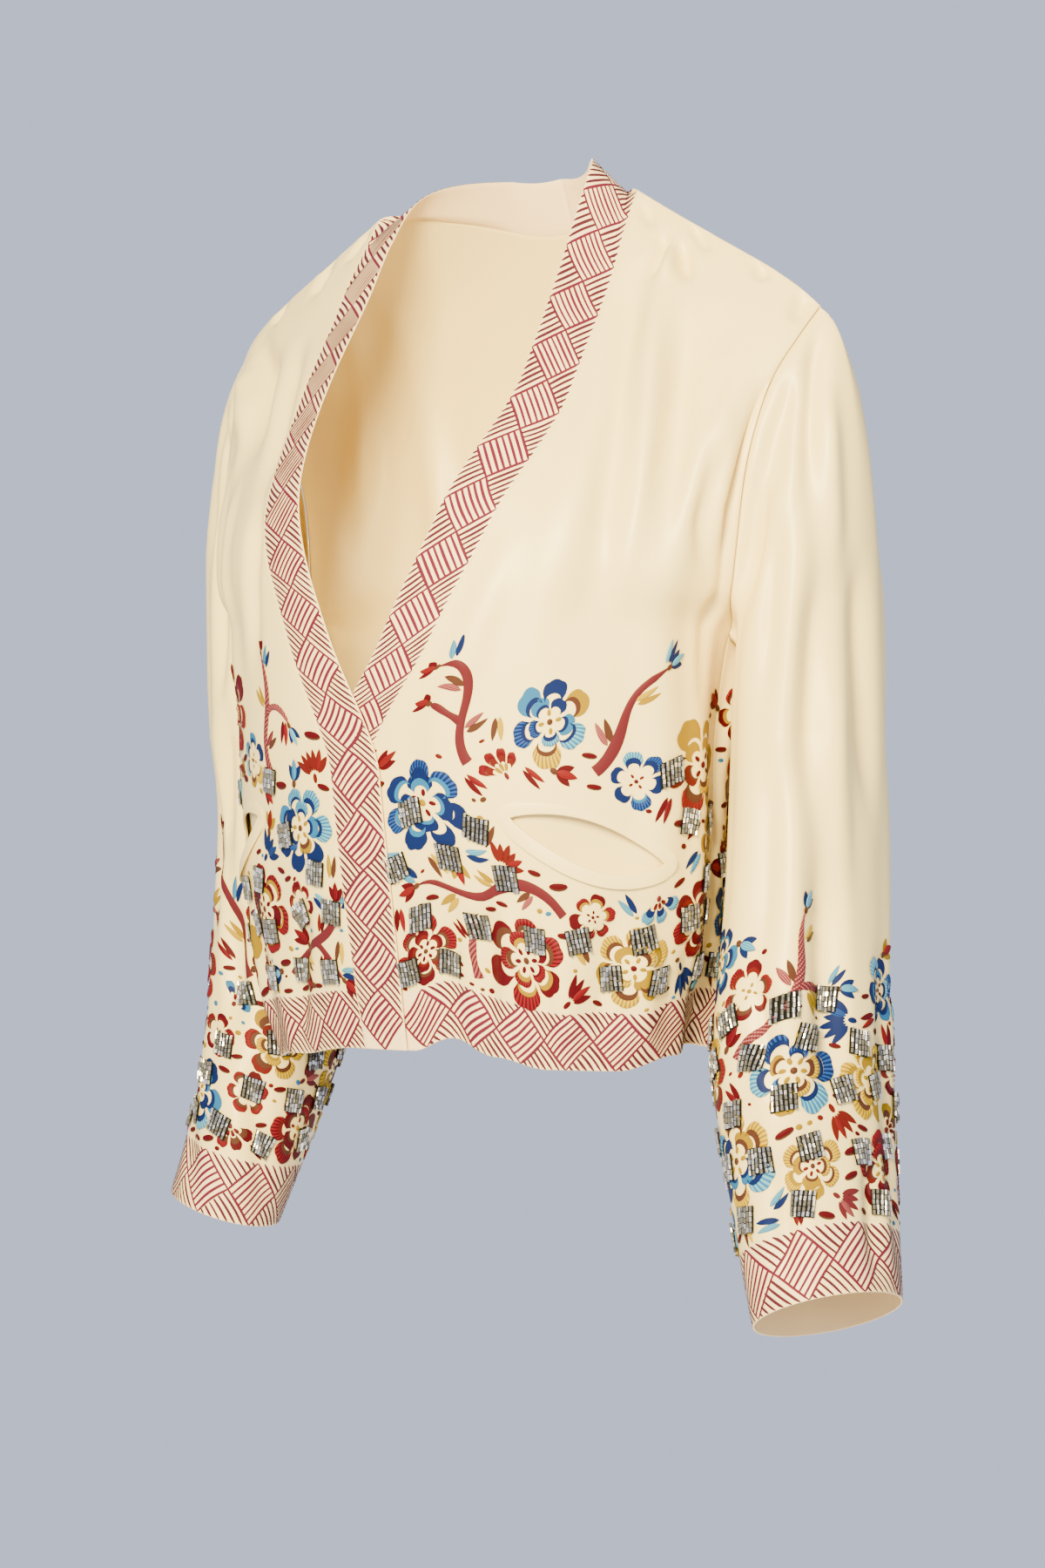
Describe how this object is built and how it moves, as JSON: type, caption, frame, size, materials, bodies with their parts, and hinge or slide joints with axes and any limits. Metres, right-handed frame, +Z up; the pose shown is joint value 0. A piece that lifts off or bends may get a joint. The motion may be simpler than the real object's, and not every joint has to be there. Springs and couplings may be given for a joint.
{
  "type": "silk cardigan",
  "caption": "Short cream silk cardigan with a V neck, long sleeves, hatched borders, a flower and branch print with bead squares, and slit pockets, shown worn.",
  "frame": {"origin": "middle of the neck opening, level with the neck ends of the shoulder seams, where the wearer's shoulders carry the garment", "axes": "+Z up, the wearer faces -Y, +X is the wearer's left"},
  "size_m": [0.5387, 0.2552, 0.697],
  "materials": {
    "body_silk": "soft sheen, printed and beaded on its lower part",
    "band_silk": "soft sheen, printed with a hatched basket pattern",
    "pocket_silk": "soft sheen, plain"
  },
  "bodies": {
    "root": {"back": "body_silk", "front_left": "body_silk", "front_right": "body_silk", "sleeve_left": "body_silk", "sleeve_right": "body_silk", "band_left": "band_silk", "band_right": "band_silk", "pocket_welt_left": "pocket_silk", "pocket_welt_right": "pocket_silk", "pocket_bag_left": "pocket_silk", "pocket_bag_right": "pocket_silk"}
  },
  "joints": []
}
